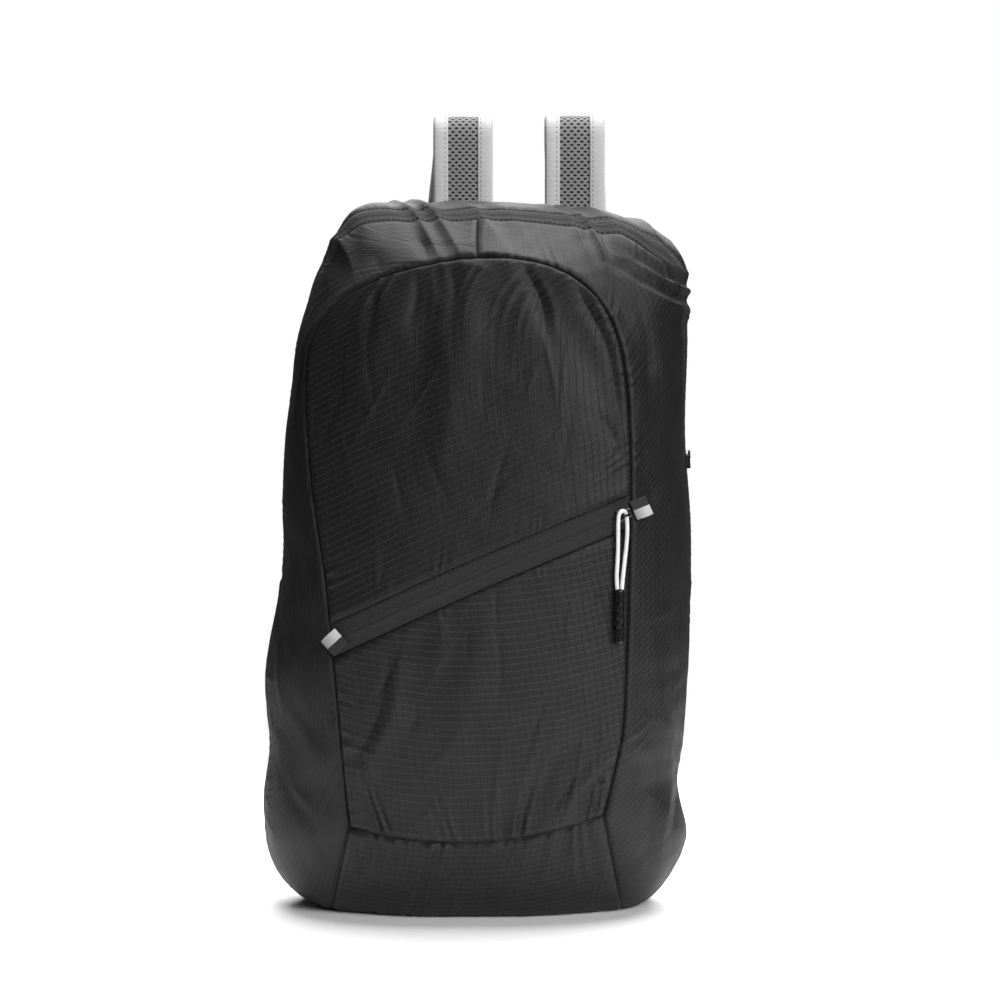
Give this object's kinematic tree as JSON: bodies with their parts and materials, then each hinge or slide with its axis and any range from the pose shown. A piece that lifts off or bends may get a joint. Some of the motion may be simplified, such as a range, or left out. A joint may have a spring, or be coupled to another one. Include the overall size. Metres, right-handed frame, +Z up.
{
  "type": "packable backpack",
  "caption": "Thin ripstop daypack with a long zip over the top, a slanted front zip pocket and two mesh shoulder straps, zipped shut and standing on its base.",
  "frame": {"origin": "middle of the flat base, on the floor", "axes": "+Z up along the height, -Y out of the front, +X to the right seen from the front"},
  "size_m": [0.2669, 0.1791, 0.4953],
  "materials": {
    "black_ripstop": "thin black ripstop nylon, soft sheen",
    "zip_tape": "black twill tape over a nylon coil",
    "strap_mesh": "grey spacer mesh",
    "grey_binding": "light grey woven binding tape",
    "black_webbing": "black woven webbing",
    "stripe_ribbon": "black ribbon with a light grey stripe",
    "white_cord": "white braided cord",
    "black_plastic": "black moulded plastic",
    "black_metal": "black lacquered zip slider"
  },
  "bodies": {
    "root": {"front_panel_upper": "black_ripstop", "front_panel_lower": "black_ripstop", "band_front_left": "black_ripstop", "band_front_right": "black_ripstop", "band_rear_top": "black_ripstop", "side_rear_left": "black_ripstop", "side_rear_right": "black_ripstop", "back_panel": "black_ripstop", "base_panel": "black_ripstop", "pocket_zip": "zip_tape", "main_zip": "zip_tape", "pocket_zip_slider": "black_metal", "main_zip_slider": "black_metal", "pull_cord": "white_cord", "pull_grip": "black_plastic", "pocket_tab_left": "stripe_ribbon", "pocket_tab_right": "stripe_ribbon", "strap_left_pad": "strap_mesh", "strap_left_binding_left": "grey_binding", "strap_left_binding_right": "grey_binding", "strap_left_loop": "black_webbing", "strap_left_webbing": "black_webbing", "strap_left_buckle": "black_plastic", "strap_right_pad": "strap_mesh", "strap_right_binding_left": "grey_binding", "strap_right_binding_right": "grey_binding", "strap_right_loop": "black_webbing", "strap_right_webbing": "black_webbing", "strap_right_buckle": "black_plastic"}
  },
  "joints": []
}
